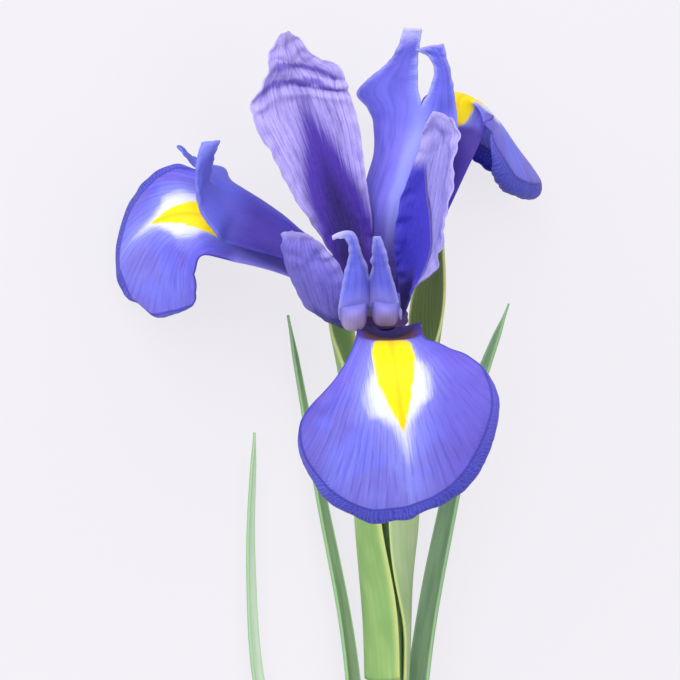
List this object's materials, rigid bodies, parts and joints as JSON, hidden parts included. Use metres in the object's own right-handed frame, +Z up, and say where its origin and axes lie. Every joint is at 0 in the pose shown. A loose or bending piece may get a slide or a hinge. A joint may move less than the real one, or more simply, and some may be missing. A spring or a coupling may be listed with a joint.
{
  "type": "iris flower",
  "caption": "Cut blue iris lying on its back: arched falls with golden signals, upright standards, crested style arms, sheathed stem and grassy leaves.",
  "frame": {"origin": "middle of the underside of the whole flower's box, on the surface that it lies on", "axes": "+Z up from the surface; +Y from the stem's cut end towards the flower; +X to the flower's right when it is looked down on with its stem towards the viewer"},
  "size_m": [0.0972, 0.1854, 0.0771],
  "materials": {
    "fall_violet": "matte petal, violet-blue with darker veins, a white halo and a golden signal patch",
    "standard_lilac": "thin matte petal, pale lilac with a dark violet heart and crinkled edges",
    "style_blue": "satin petal, blue, paler along the keel",
    "anther_cream": "matte cream anther",
    "stem_green": "satin green stem",
    "spathe_green": "satin pale green sheath with fine lengthwise veins",
    "leaf_green": "satin blue-green leaf with fine lengthwise veins"
  },
  "bodies": {
    "root": {"fall_front": "fall_violet", "fall_left": "fall_violet", "fall_back": "fall_violet", "standard_back": "standard_lilac", "standard_right": "standard_lilac", "standard_left": "standard_lilac", "style_arm_front": "style_blue", "style_arm_left": "style_blue", "style_arm_back": "style_blue", "stamen_front": "anther_cream", "stamen_left": "anther_cream", "stamen_back": "anther_cream", "stem": "stem_green", "ovary": "stem_green", "spathe_left": "spathe_green", "spathe_right": "spathe_green", "leaf_left": "leaf_green", "leaf_right": "leaf_green", "leaf_far_left": "leaf_green"}
  },
  "joints": []
}
